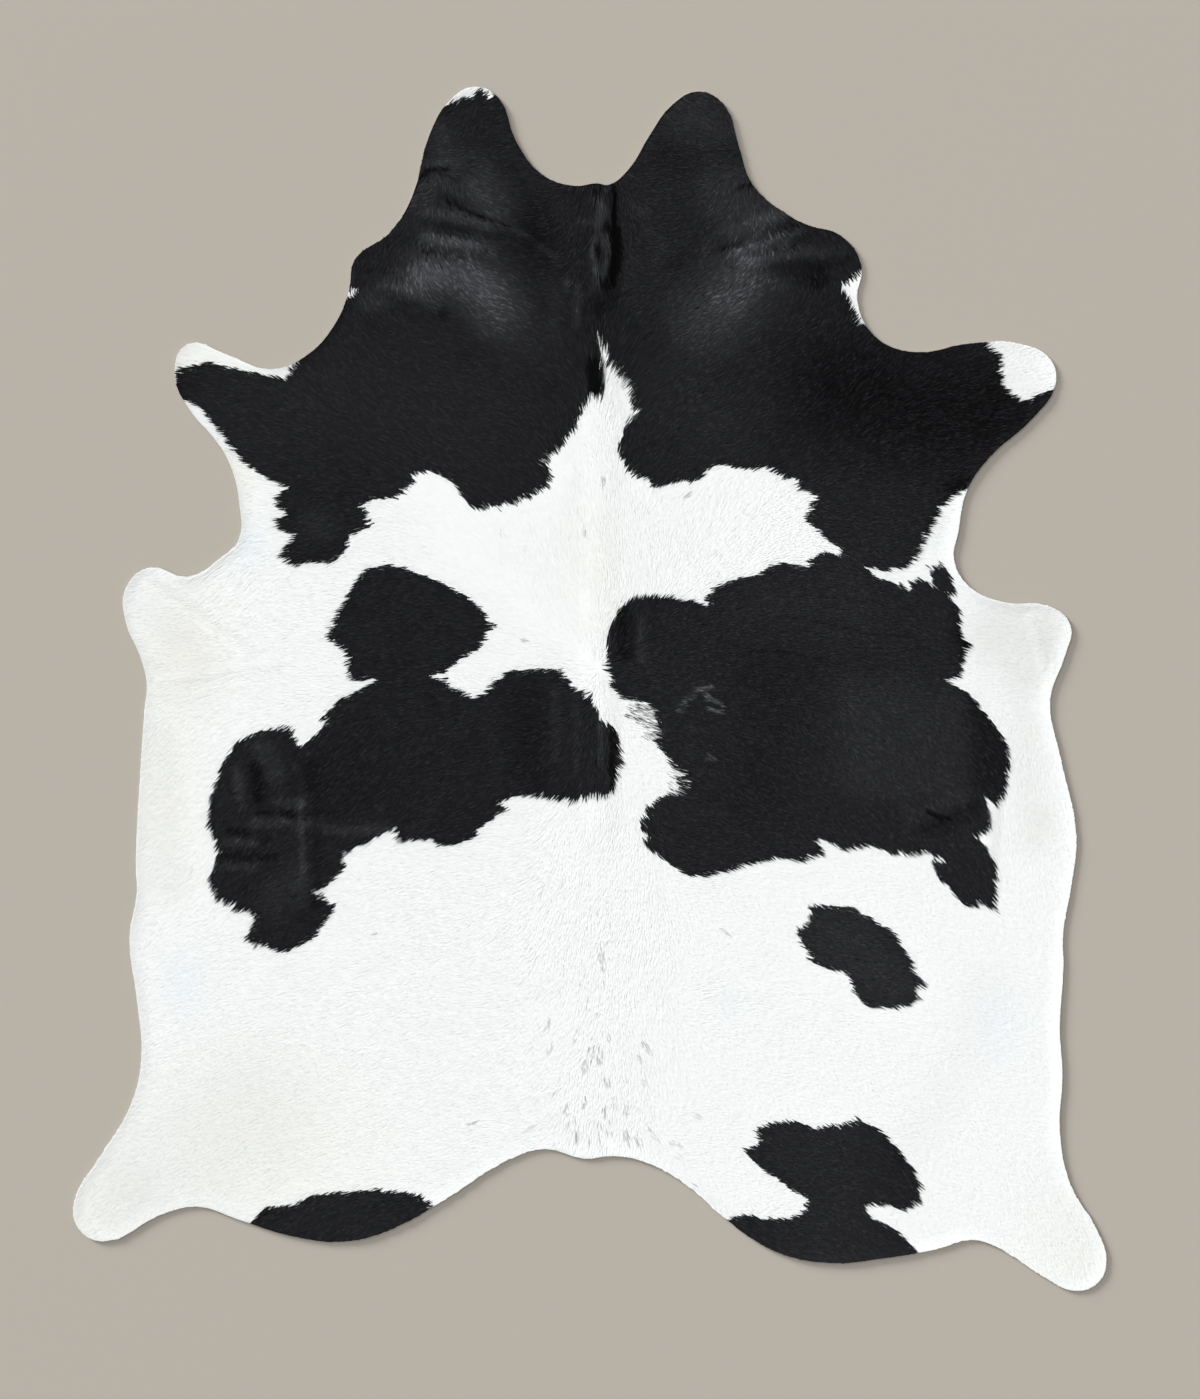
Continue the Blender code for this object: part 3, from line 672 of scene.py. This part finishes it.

# %% [markdown]
# ### Bands of painted sheen and painted shade
# Black hair shines where it turns to the light and goes deep black in a crease. Here both are
# painted into the tone of its locks: painted sheen along light bands, painted shade along dark
# ones. White hair gets a little painted shade in a crease and is darker in a few broader places.
# The smear rows are grey hairs on the black. Bands along short lines put all of these where the
# real hide has them. A crease also lets its locks sink, so that it keeps its place when the light
# moves.

# %% Bands of painted sheen and shade
# Name, strength (below zero is darker), half width, line as (x, y), in millimetres.
SHADES = (
    ("left lobe sheen", 0.17, 46, ((-284, 1036), (-268, 985))),
    ("left lobe crease", -0.30, 7, ((-318, 952), (-298, 965), (-266, 967))),
    ("left lobe crease lip", 0.12, 8, ((-309, 943), (-279, 952), (-251, 958))),
    ("left lobe dip", -0.12, 14, ((-250, 945), (-231, 924))),
    ("left throat sheen", 0.22, 66, ((-216, 955), (-194, 925), (-172, 892))),
    # A broad painted sheen on the black of the left neck.
    ("left neck sheen", 0.15, 92, ((-300, 915), (-250, 865))),
    ("left neck crease", -0.28, 6, ((-266, 906), (-240, 895), (-216, 884), (-196, 876))),
    ("left neck crease end", -0.20, 4, ((-205, 880), (-172, 869), (-147, 858))),
    ("left neck crease lip", 0.13, 8, ((-150, 856), (-125, 847), (-102, 830), (-60, 798))),
    ("left nape dip", -0.11, 14, ((-279, 859), (-251, 854), (-231, 848))),
    ("left nape crease", -0.20, 5, ((-287, 850), (-261, 846), (-231, 839), (-190, 831))),
    ("left cheek crease", -0.24, 4, ((-309, 815), (-289, 811), (-266, 805), (-234, 803))),
    ("left neck band", 0.26, 26, ((-300, 836), (-246, 829), (-190, 820))),
    ("left neck gloss", 0.34, 86, ((-300, 768), (-240, 772), (-200, 750), (-172, 712))),
    ("left neck arm", 0.20, 40, ((-404, 727), (-354, 750), (-300, 770))),
    ("left neck core", 0.28, 44, ((-310, 772), (-238, 770), (-190, 740))),
    ("left gloss tail", 0.08, 84, ((-190, 700), (-120, 645))),
    ("left shoulder sheen", 0.10, 44, ((-518, 310), (-499, 301))),
    ("left of the mane", -0.08, 70, ((-121, 882), (-93, 816))),
    ("near nape smear", 0.17, 11, ((-25, 744), (-25, 712), (-24, 680))),
    ("middle nape smear", 0.14, 9, ((-46, 760), (-44, 738))),
    ("far nape smear", 0.07, 20, ((-69, 740), (-65, 658))),
    ("mane hollow", -1.00, 10, ((13, 932), (13, 916))),
    ("upper mane tuft", 0.28, 17, ((13, 905), (26, 885), (13, 862))),
    ("mane side tuft", 0.20, 10, ((-20, 872), (-4, 868))),
    ("mane gap", -0.22, 9, ((30, 858), (37, 846))),
    ("mane shade", -0.04, 64, ((14, 930), (14, 700))),
    ("lower mane crown", 0.31, 10, ((4, 826), (17, 839), (34, 830))),
    ("lower mane tuft", 0.31, 11, ((2, 812), (9, 783), (15, 751))),
    ("lower mane lip", 0.28, 8, ((34, 816), (30, 789), (22, 764))),
    ("lower mane core", -0.20, 8, ((14, 818), (16, 800))),
    ("mane foot shade", -0.06, 16, ((15, 730), (15, 680))),
    ("upper mane groove", -1.00, 5, ((41, 943), (47, 919), (45, 891), (45, 862))),
    ("lower mane groove", -1.00, 13, ((47, 852), (50, 826), (50, 794), (43, 768))),
    ("mane groove foot", -1.00, 10, ((28, 746), (42, 751))),
    ("blaze valley", -0.70, 18, ((4, 608), (11, 552))),
    ("right nape rise", 0.02, 54, ((121, 850), (153, 826))),
    ("right nape dip", -0.05, 26, ((86, 869), (93, 826))),
    ("right lobe sheen", 0.11, 80, ((188, 1062), (212, 1034))),
    ("right lobe shade", -0.06, 50, ((151, 990), (220, 1001), (277, 984))),
    ("right lobe crease", -0.30, 8, ((277, 932), (304, 938))),
    ("right throat sheen", 0.20, 90, ((257, 919), (294, 887), (317, 869))),
    ("right neck crease", -0.30, 5, ((250, 822), (279, 828), (307, 835), (344, 850),
        (389, 865))),
    ("right neck band", 0.23, 21, ((266, 813), (307, 824), (359, 833))),
    ("right cheek crease", -0.22, 5, ((296, 809), (337, 815), (384, 824))),
    ("right cheek dip", -0.15, 36, ((339, 796), (384, 772), (423, 764))),
    ("right neck gloss", 0.27, 112, ((320, 800), (283, 768), (257, 723), (220, 690))),
    ("right neck core", 0.20, 56, ((298, 787), (279, 753), (261, 723))),
    ("right cape shade", -0.145, 200, ((480, 560), (610, 520), (745, 520))),
    ("right cape sheen", 0.05, 110, ((150, 560), (240, 480))),
    ("left cape sheen", 0.055, 200, ((-700, 470), (-480, 560), (-250, 500))),
    ("left flank rib", 0.22, 13, ((-659, -155), (-648, -219))),
    ("left flank knot", 0.19, 14, ((-585, -211), (-544, -219))),
    ("left flank pit", -0.30, 12, ((-570, -230), (-551, -241))),
    ("left flank second pit", -0.18, 11, ((-614, -232), (-596, -234))),
    ("left flank pocket", -0.16, 22, ((-622, -150), (-616, -200))),
    ("left flank band", 0.19, 17, ((-626, -250), (-540, -249), (-454, -267), (-380, -260))),
    ("left flank third pit", -0.14, 11, ((-670, -267), (-640, -270))),
    ("left flank line", 0.19, 10, ((-678, -286), (-622, -288))),
    ("left flank fourth pit", -0.11, 15, ((-678, -312), (-590, -316))),
    ("left flank low line", 0.16, 11, ((-696, -332), (-622, -334))),
    ("left flank rise", 0.15, 34, ((-611, -111), (-585, -159))),
    ("left flank post", 0.18, 9, ((-538, -208), (-538, -275), (-534, -342))),
    ("left saddle corner", -0.045, 72, ((-520, -160), (-480, -235))),
    ("left flank lower sheen", 0.11, 60, ((-585, -394), (-547, -357))),
    ("left saddle shade", -0.03, 110, ((-456, -118), (-419, -152))),
    ("mid saddle shade", -0.065, 58, ((-121, -21), (-115, -152))),
    ("first saddle rib", 0.10, 12, ((-65, -3), (-65, -133))),
    ("second saddle rib", 0.10, 12, ((-26, -3), (-26, -152))),
    ("third saddle rib", 0.18, 10, ((20, -21), (20, -142))),
    ("saddle end shade", -0.20, 11, ((44, -80), (42, -180))),
    ("right spot shade", -0.13, 25, ((63, 142), (67, 62))),
    ("right spot sheen", 0.15, 13, ((95, 128), (97, 53))),
    ("right spot upper sheen", 0.045, 120, ((330, 150), (480, 150))),
    ("right spot line", -0.06, 5, ((354, 137), (440, 121), (521, 100), (596, 96))),
    ("right spot second line", -0.05, 5, ((400, 174), (480, 166), (559, 152))),
    ("right spot third line", -0.05, 5, ((290, 70), (380, 66), (470, 42))),
    ("right spot middle", -0.045, 125, ((340, 40), (310, -190))),
    ("right flank sheen", 0.09, 74, ((500, -20), (505, -165))),
    ("right flank second sheen", 0.085, 74, ((580, -20), (585, -175))),
    ("right flank third sheen", 0.08, 66, ((655, -35), (660, -180))),
    ("right flank shade", -0.10, 48, ((732, -21), (742, -170))),
    ("right flank crease", -0.30, 7, ((624, -230), (648, -239), (670, -245))),
    ("right flank line", -0.03, 9, ((635, -21), (639, -105), (641, -189))),
    ("smear left arm", 0.34, 8, ((168, -43), (180, -24), (192, -12))),
    ("smear top", 0.75, 7, ((196, -2), (208, -1), (225, 4))),
    ("smear right arm", 0.60, 7, ((217, -9), (225, -21))),
    ("smear right edge", 0.52, 6, ((233, -24), (242, -29))),
    ("smear right foot", 0.72, 6, ((222, -37), (234, -43), (248, -43))),
    ("smear dot", 0.55, 7, ((222, -131), (228, -131))),
    ("right thigh sheen", 0.12, 120, ((466, -468), (559, -543))),
    ("left rump sheen", 0.05, 140, ((-540, -975), (-400, -975))),
    ("right rump sheen", 0.05, 170, ((420, -860), (440, -1050))),
    ("left leg crease", -0.16, 4, ((-829, 204), (-791, 174), (-745, 148), (-680, 107),
        (-633, 77))),
    ("left leg second crease", -0.08, 7, ((-756, 198), (-726, 176), (-689, 142), (-652, 107))),
    ("left leg third crease", -0.13, 4, ((-821, 5), (-760, 12), (-713, 14), (-676, 27),
        (-631, 36), (-596, 40))),
    # Two darker places in the white beside the left leg creases.
    ("left leg dark patch", -0.14, 30, ((-724, 46), (-721, 38))),
    ("left leg second dark patch", -0.11, 38, ((-786, 105), (-752, 87))),
    ("left elbow grey", -0.17, 110, ((-785, 160), (-755, 10))),
    ("right elbow line", -0.16, 5, ((838, 90), (851, 66), (860, 44))),
    ("right elbow second line", -0.12, 5, ((717, 49), (760, 44), (801, 42))),
    ("left hind grey", -0.22, 220, ((-810, -920), (-640, -800))),
    ("left hoof end grey", -0.15, 90, ((-900, -990), (-860, -930))),
    ("left flank grey", -0.22, 66, ((-810, -100), (-785, -360))),
    ("right leg grey", -0.40, 125, ((775, 100), (840, 80))),
    ("right flank grey", -0.20, 60, ((800, 0), (830, -280))),
    # A darker place in the white of the right flank.
    ("right flank dark patch", -0.12, 30, ((849, -235), (849, -255))),
    ("right loin grey", -0.08, 80, ((745, -560), (690, -700), (610, -850))),
    ("right armpit grey", -0.14, 46, ((650, 290), (690, 370), (715, 210))),
    ("right hind grey", -0.05, 120, ((931, -1046), (875, -952))),
    ("left foreleg grey", -0.06, 90, ((-745, 668), (-763, 612))),
)


def shade_at(spots):
    total = np.zeros(len(spots))
    for _, strength, half_width, line in SHADES:
        total += strength * bump_over(spots, np.array(line) * MM, half_width * MM)
    return total


# Painted sheen and painted shade at each lock, with the grey hairs of the smear rows.
shade = shade_at(seen)
print("shade from", round(float(shade.min()), 2), "to", round(float(shade.max()), 2))

# %% [markdown]
# The white coat also has faint casts that only show beside each other: cool bluish ones and warm
# yellowish ones, at the places listed below.

# %% Casts of the white
# Name, strength (above zero is bluish, below is yellowish), centre as (x, y), half sizes.
CASTS = (
    ("left hip cool", 0.6, (-0.755, -0.550), (0.035, 0.055)),
    ("right hip cool", 0.6, (0.765, -0.627), (0.050, 0.070)),
    ("right loin cool", 0.3, (0.262, -0.590), (0.030, 0.050)),
    ("left shoulder cool", 0.6, (-0.640, 0.262), (0.035, 0.040)),
    ("right armpit cool", 0.5, (0.695, 0.260), (0.045, 0.075)),
    ("withers warm", -0.3, (0.010, 0.230), (0.050, 0.100)),
    ("left armpit warm", -0.4, (-0.650, 0.400), (0.030, 0.060)),
    ("left elbow warm", -0.6, (-0.755, 0.070), (0.070, 0.100)),
    ("left flank warm", -0.5, (-0.790, -0.200), (0.055, 0.160)),
    ("left thigh warm", -0.45, (-0.630, -0.850), (0.190, 0.140)),
    ("left hind leg warm", -0.35, (-0.900, -0.960), (0.090, 0.110)),
    ("right hind leg warm", -0.3, (0.900, -1.060), (0.080, 0.080)),
    ("left foreleg warm", -0.35, (-0.740, 0.610), (0.070, 0.060)),
)
cast = np.zeros(count)
for _, strength, centre, half_size in CASTS:
    cast += strength * np.exp(-(((seen - centre) / half_size) ** 2).sum(axis=1))
print("cast from", round(float(cast.min()), 2), "to", round(float(cast.max()), 2))

# %% [markdown]
# ## Tone of each lock
# Black locks differ a little by chance. A light band adds a painted sheen to them and a few get
# a painted glint, and a dark band takes tone away as painted shade.
# Flat white locks that lie away from the window turn their backs to it and would shine brighter
# than the rest, so they get a little painted shade, and the white is even over the whole rug.

# %% Tone of each lock
# Painted highlights on black hair: the glint that a few locks get, and what a light band adds.
PLAIN_BLACK = (0.079, 0.052, 0.08)      # tone of plain black hair, what chance adds, a glint
PAINTED_SHINE = (0.60, 4.00)        # what a light band adds to all its hair, and to a glint
GLINT_POWER = 6             # the higher, the fewer hairs that glint
PLAIN_WHITE = 0.16          # most grey that chance gives a white lock
AWAY = (0.78, -0.62)        # level direction away from the window
LEAN_PAINTED_SHADE = 0.21            # most grey of white hair that lies away from the window

chance = rng.uniform(0.0, 1.0, count)
painted_glint = chance ** GLINT_POWER
black_tone_and_sheen = (PLAIN_BLACK[0] + PLAIN_BLACK[1] * chance + PLAIN_BLACK[2] * painted_glint
              + PAINTED_SHINE[0] * shade + PAINTED_SHINE[1] * painted_glint * np.maximum(shade, 0.0) ** 2)
# Painted shade on white hair that lies away from the window, and in its creases.
lean = np.maximum(base @ np.array(AWAY), 0.0)
white_tone_and_shade = PLAIN_WHITE * chance + LEAN_PAINTED_SHADE * lean**2 - shade
# Each lock's tone, with its painted sheen and painted shade, goes on to the material.
tone_and_painted_light = np.clip(np.where(dark > 0.5, black_tone_and_sheen, white_tone_and_shade), 0.0, 1.0)
print("mean tone", round(float(tone_and_painted_light.mean()), 3))

# %% [markdown]
# ## Lay the locks
# All locks together are too many for one mesh, so the coat is cut into five bands from neck to
# tail. Each band is one mesh. A lock has its own small cell in the band's map, so that the
# exported picture of the band keeps one colour for each lock.

# %% Lean and rise of each lock
LOCK_ROLL = 9.0             # degrees that a black lock may lean to a side
ROLL_CELL, ROLL_PART = 0.011, 0.5       # size of a leaning tuft; tuft and lock do half each
WHITE_CALM = 0.12           # white locks lean this much less
RISE_RANGE = (0.85, 1.2)
RISE_BY_COLOUR = (0.42, 0.58)           # share of its rise that hair has, and what black adds
CREASE_SINK = 0.0008        # how far the deepest crease lets its locks sink

roll = np.radians(LOCK_ROLL) * (ROLL_PART * tuft_noise(roots, ROLL_CELL)
                                + rng.normal(0.0, ROLL_PART, count))
roll *= WHITE_CALM + (1.0 - WHITE_CALM) * dark
rise = rng.uniform(*RISE_RANGE, count)
rise *= RISE_BY_COLOUR[0] + RISE_BY_COLOUR[1] * dark
sink = CREASE_SINK * np.clip(-shade, 0.0, 1.0)
root_lift = lift(roots)
tip_lift = lift(roots + direction * length[:, None])
bottom = SKIN_THICKNESS + UNDERCOAT
print("highest root", round(float(root_lift.max()), 4))

# %% One band of locks
CELL_FILL = 0.62            # part of a map cell that a lock covers


def lay_locks(chosen):
    """Points of a copy of the lock at each chosen root."""
    along, wide = lock_shape[:, 1], lock_shape[:, 0]
    level = np.interp(lock_shape[:, 2], (0.0, 1.0, 2.0), COAT_RISE)
    way, cross = direction[chosen], direction[chosen] @ QUARTER_TURN
    spot = (roots[chosen][:, None, :]
            + way[:, None, :] * (length[chosen][:, None] * along)[:, :, None]
            + cross[:, None, :] * (width[chosen][:, None] * wide)[:, :, None])
    height = (bottom + root_lift[chosen][:, None] * (1.0 - along)
              + (tip_lift - sink)[chosen][:, None] * along + rise[chosen][:, None] * level
              + np.tan(roll[chosen])[:, None] * width[chosen][:, None] * wide)
    return np.concatenate([spot, height[:, :, None]], axis=2)


def paint(mesh, label, values):
    """Keep one number for each point of the mesh."""
    layer = mesh.attributes.new(label, "FLOAT", "POINT")
    layer.data.foreach_set("value", values.astype(np.float32))


def coat_mesh(name, chosen):
    points = lay_locks(chosen)
    locks, corners = len(points), len(lock_shape)
    order = np.concatenate([np.array(face) for face in lock_faces])
    starts = np.cumsum([0] + [len(face) for face in lock_faces])[:-1]
    mesh = bpy.data.meshes.new(name)
    mesh.vertices.add(locks * corners)
    mesh.vertices.foreach_set("co", points.astype(np.float32).ravel())
    loops = (np.arange(locks)[:, None] * corners + order).ravel()
    mesh.loops.add(len(loops))
    mesh.loops.foreach_set("vertex_index", loops.astype(np.int32))
    mesh.polygons.add(locks * len(lock_faces))
    first = (np.arange(locks)[:, None] * len(order) + starts).ravel()
    mesh.polygons.foreach_set("loop_start", first.astype(np.int32))
    mesh.update(calc_edges=True)
    mesh.shade_smooth()
    for label, values in (("dark", dark[chosen]), ("tone_and_painted_light", tone_and_painted_light[chosen]),
                          ("cast", cast[chosen])):
        paint(mesh, label, np.repeat(values, corners))
    across = math.ceil(math.sqrt(locks))
    cell = np.stack([np.arange(locks) % across, np.arange(locks) // across], axis=1)
    shape = np.stack([lock_shape[:, 0] + 0.5, lock_shape[:, 1]], axis=1)
    inner = (shape - 0.5) * CELL_FILL + 0.5
    places = ((cell[:, None, :] + inner[None, :, :]) / across)[:, order, :]
    layer = mesh.uv_layers.new(name="OFBake")
    layer.data.foreach_set("uv", places.astype(np.float32).ravel())
    return mesh


# %% The five bands
BANDS = ("coat_neck", "coat_shoulders", "coat_back", "coat_loin", "coat_rump")


def show(name, mesh, *materials):
    piece = bpy.data.objects.new(name, mesh)
    bpy.context.scene.collection.objects.link(piece)
    for material in materials:
        mesh.materials.append(material)
    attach(piece, "root")
    return piece


order_down = np.argsort(-roots[:, 1])
band_meshes = [(name, coat_mesh(name, chosen))
               for name, chosen in zip(BANDS, np.array_split(order_down, len(BANDS)))]
for name, mesh in band_meshes:
    print(name, "polygons", len(mesh.polygons))

# %% [markdown]
# ## Finishes
# Materials are small sums of noise and attributes. A tiny class lets such sums be written as
# plain Python, each sign adding one node.

# %% Writing nodes as sums


class Wire:
    """A socket that can stand in a sum. Each operator adds one Math node."""

    def __init__(self, tree, socket):
        self.tree = tree
        self.socket = socket

    def feed(self, target, value):
        if isinstance(value, Wire):
            self.tree.links.new(value.socket, target)
        else:
            target.default_value = value

    def maths(self, operation, left, right):
        node = self.tree.nodes.new("ShaderNodeMath")
        node.operation = operation
        self.feed(node.inputs[0], left)
        self.feed(node.inputs[1], right)
        return Wire(self.tree, node.outputs[0])

    def __add__(self, other):
        return self.maths("ADD", self, other)

    def __radd__(self, other):
        return self.maths("ADD", other, self)

    def __sub__(self, other):
        return self.maths("SUBTRACT", self, other)

    def __rsub__(self, other):
        return self.maths("SUBTRACT", other, self)

    def __mul__(self, other):
        return self.maths("MULTIPLY", self, other)

    def __rmul__(self, other):
        return self.maths("MULTIPLY", other, self)


class Finish:
    """A material with one Principled shader, and one method that adds any other node."""

    def __init__(self, name, **constants):
        self.material = bpy.data.materials.new(name)
        self.material.use_nodes = True
        self.tree = self.material.node_tree
        self.shader = self.tree.nodes["Principled BSDF"]
        for socket, value in constants.items():
            self.shader.inputs[socket.replace("_", " ")].default_value = value

    def node(self, kind, settings=None, output=0, **sockets):
        made = self.tree.nodes.new(kind)
        for name, value in (settings or {}).items():
            setattr(made, name, value)
        for name, value in sockets.items():
            key = int(name[1:]) if name[1:].isdigit() else name.replace("_", " ")
            Wire(self.tree, None).feed(made.inputs[key], value)
        return Wire(self.tree, made.outputs[output])

    def mix(self, share, first, second):
        """Colour between first and second."""
        return self.node("ShaderNodeMix", {"data_type": "RGBA"}, 2, i0=share, i6=first, i7=second)

    def noise(self, scale, detail=2.0):
        place = self.node("ShaderNodeTexCoord", output=3)
        return self.node("ShaderNodeTexNoise", None, 0, Vector=place, Scale=scale, Detail=detail)

    def attribute(self, name):
        return self.node("ShaderNodeAttribute", {"attribute_name": name}, 2)

    def set(self, socket, value):
        Wire(self.tree, None).feed(self.shader.inputs[socket], value)


# %% [markdown]
# ### Coat
# White hair is almost even, with a slightly warm or cool cast here and there. Black hair catches
# the light in streaks, and these are painted highlights in the tone of each lock, as the creases
# are painted shade. The shader itself stays rough: flat locks with a gloss would all turn grey
# together when they are seen against the window. Both colours come from one material that reads
# the blackness and the tone of each lock, painted light included.

# %% Coat material
WHITE_HAIR = (0.872, 0.892, 0.877, 1.0)
WHITE_GREY_AND_SHADE = (0.605, 0.615, 0.600, 1.0)
COOL_WHITE = (0.82, 0.86, 0.91, 1.0)
WARM_WHITE = (0.86, 0.85, 0.78, 1.0)
BLACK_HAIR = (0.0020, 0.0020, 0.0024, 1.0)
BLACK_TONE_AND_SHEEN = (0.095, 0.097, 0.105, 1.0)
COAT_ROUGH, BLACK_ROUGHER = 0.88, 0.06
ROUGH_CHANGE, ROUGH_SCALE = 0.06, 60.0

coat = Finish("coat", IOR=1.5, Specular_IOR_Level=0.08)
blackness_here = coat.node("ShaderNodeMapRange", {"clamp": True}, 0, Value=coat.attribute("dark"))
lock_tone_and_light = coat.attribute("tone_and_painted_light")
tinge = coat.attribute("cast")
cool = coat.node("ShaderNodeMapRange", {"clamp": True}, 0, Value=tinge)
warm = coat.node("ShaderNodeMapRange", {"clamp": True}, 0, Value=0.0 - tinge)
white = coat.mix(cool, WHITE_HAIR, COOL_WHITE)
white = coat.mix(warm, white, WARM_WHITE)
# Tone leads white hair toward grey: by chance, and as painted shade in creases and away from the
# window.
white = coat.mix(lock_tone_and_light, white, WHITE_GREY_AND_SHADE)
# Tone leads black hair toward a lighter black: by chance, and as painted sheen and glints.
black = coat.mix(lock_tone_and_light, BLACK_HAIR, BLACK_TONE_AND_SHEEN)
coat.set("Base Color", coat.mix(blackness_here, white, black))
coat.set("Roughness", COAT_ROUGH + BLACK_ROUGHER * blackness_here
         + ROUGH_CHANGE * coat.noise(ROUGH_SCALE))
print("coat nodes", len(coat.tree.nodes))

# %% [markdown]
# ### Suede
# The flesh side of the skin is pale chrome-tanned suede with a short fuzzy nap. Two noises, one
# broad for the colour and one fine for the bump, are enough for a side that is rarely seen.

# %% Suede material
SUEDE_PALE = (0.50, 0.47, 0.43, 1.0)
SUEDE_DEEP = (0.36, 0.34, 0.32, 1.0)
SUEDE_ROUGH = 0.9
CLOUDS = (9.0, 4.0)         # scale and detail of the colour noise
NAP = (900.0, 3.0)          # the same for the bump
NAP_STRENGTH, NAP_DEPTH = 0.35, 0.0006

suede = Finish("suede", Roughness=SUEDE_ROUGH)
suede.set("Base Color", suede.mix(suede.noise(*CLOUDS), SUEDE_PALE, SUEDE_DEEP))
nap = suede.node("ShaderNodeBump", None, 0, Strength=NAP_STRENGTH, Distance=NAP_DEPTH,
                 Height=suede.noise(*NAP))
suede.set("Normal", nap)
print("suede nodes", len(suede.tree.nodes))

# %% [markdown]
# ## Put the pieces in place
# The skin stands for the CAD solid, and the bands of coat lie on it.

# %% Skin and coat
TOP_SLOT, SUEDE_SLOT = 0, 1
skin = bpy.data.meshes.new("skin")
for face in skin_mesh.faces:
    face.material_index = TOP_SLOT if face.normal.z > 0.5 else SUEDE_SLOT
skin_mesh.to_mesh(skin)
skin_mesh.free()
skin_spots = np.array([tuple(vertex.co)[:2] for vertex in skin.vertices])
SPOT_BLUR = 0.004           # how softly black turns to white on the skin
UNDERCOAT_TONE = 0.05
paint(skin, "dark", np.clip(0.5 + blackness(skin_spots) / SPOT_BLUR, 0.0, 1.0))
paint(skin, "tone_and_painted_light", np.full(len(skin_spots), UNDERCOAT_TONE))

skin_piece = show("skin", skin, coat.material, suede.material)
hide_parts("hide")
for name, mesh in band_meshes:
    piece = show(name, mesh, coat.material)

# %% [markdown]
# ## Studio
# The rug is seen straight from above with a long lens, so that nothing leans. The floor is plain
# and pale. A low window light from beyond the upper left corner lays a narrow shadow along the
# right and lower edges, and a bright ceiling keeps it soft.

# %% Floor
FLOOR_SIZE = 9.0
FLOOR_COLOUR = (0.396, 0.362, 0.312, 1.0)
FLOOR_ROUGH = 0.8

floor_mesh = bmesh.new()
bmesh.ops.create_grid(floor_mesh, x_segments=1, y_segments=1, size=FLOOR_SIZE / 2.0)
floor_data = bpy.data.meshes.new("floor")
floor_mesh.to_mesh(floor_data)
floor_mesh.free()
floor_finish = Finish("floor", Roughness=FLOOR_ROUGH)
floor_finish.set("Base Color", FLOOR_COLOUR)
floor_data.materials.append(floor_finish.material)
floor = bpy.data.objects.new("floor", floor_data)
bpy.context.scene.collection.objects.link(floor)

# %% Lights
# Name, direction toward the light, degrees across, strength.
LAMPS = (
    ("window", (-1.0, 0.8, 0.36), 18.0, 5.04),
    ("ceiling", (-0.2, 0.15, 1.0), 80.0, 1.63),
)
FILL_COLOUR = (0.97, 0.98, 1.0, 1.0)
FILL_STRENGTH = 0.235

for name, toward, spread, strength in LAMPS:
    lamp = bpy.data.lights.new(name, "SUN")
    lamp.energy = strength
    lamp.angle = math.radians(spread)
    holder = bpy.data.objects.new(name, lamp)
    holder.rotation_euler = Vector(toward).to_track_quat("Z", "Y").to_euler()
    bpy.context.scene.collection.objects.link(holder)
world = bpy.data.worlds.new("studio")
world.use_nodes = True
world.node_tree.nodes["Background"].inputs["Color"].default_value = FILL_COLOUR
world.node_tree.nodes["Background"].inputs["Strength"].default_value = FILL_STRENGTH
bpy.context.scene.world = world
bpy.context.scene.view_settings.view_transform = "Standard"

# %% Camera
PHOTO_WIDTH, PHOTO_HEIGHT = 1200, 1399
PIXEL = 0.001862            # metres of hide in one pixel of the picture
VIEW_CENTRE = (0.0186, -0.0205)
VIEW_HEIGHT = 7.0
SENSOR = 36.0

camera = bpy.data.cameras.new("overhead")
camera.sensor_width = SENSOR
camera.lens = SENSOR * VIEW_HEIGHT / (PHOTO_HEIGHT * PIXEL)
camera_holder = bpy.data.objects.new("overhead", camera)
camera_holder.location = (*VIEW_CENTRE, VIEW_HEIGHT)
bpy.context.scene.collection.objects.link(camera_holder)
bpy.context.scene.camera = camera_holder

# %% Finish
bpy.context.view_layer.update()
